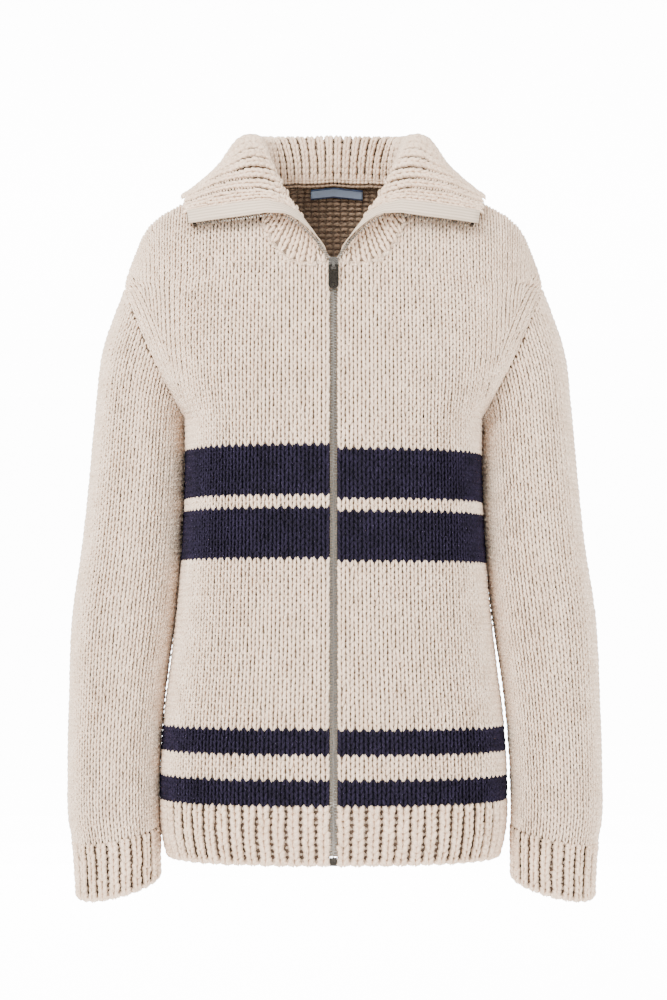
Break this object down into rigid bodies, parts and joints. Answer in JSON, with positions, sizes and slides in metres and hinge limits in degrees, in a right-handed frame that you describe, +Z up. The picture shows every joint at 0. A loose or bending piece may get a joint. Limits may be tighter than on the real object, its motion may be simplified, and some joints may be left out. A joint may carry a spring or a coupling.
{
  "type": "zip-up cardigan",
  "caption": "Chunky knitted cardigan with a turned-down ribbed collar, zip front, and ribbed hem and cuffs, hollow as when worn.",
  "frame": {"origin": "midway between the two high points of the shoulders, inside the neck", "axes": "+Z up, towards the collar; the zip and front face -Y; +X to the right as seen from the front"},
  "size_m": [0.5248, 0.2351, 0.7726],
  "materials": {
    "cream_wool": "matt chunky wool knit, cream with navy stripes",
    "zip_tape": "matt woven tape",
    "nickel": "satin nickel teeth",
    "gunmetal": "dark polished gunmetal",
    "woven_label": "smooth woven satin"
  },
  "bodies": {
    "cardigan": {"back": "cream_wool", "collar": "cream_wool", "cuff_left": "cream_wool", "cuff_right": "cream_wool", "front_left": "cream_wool", "front_right": "cream_wool", "hem_back": "cream_wool", "hem_left": "cream_wool", "hem_right": "cream_wool", "neck_label": "woven_label", "sleeve_left": "cream_wool", "sleeve_right": "cream_wool", "slider": "gunmetal", "stop_box": "gunmetal", "stop_left": "gunmetal", "stop_right": "gunmetal", "zip_chain_left": "nickel", "zip_chain_right": "nickel", "zip_tape_left": "zip_tape", "zip_tape_right": "zip_tape"},
    "pull_tab": {"pull_tab": "gunmetal"}
  },
  "joints": [
    {"name": "pull_tab_hinge", "type": "hinge", "parent": "cardigan", "child": "pull_tab", "pos_m": [0, -0.09505, -0.10463], "axis": [-1, 0, 0], "range_deg": [0, 130]}
  ]
}
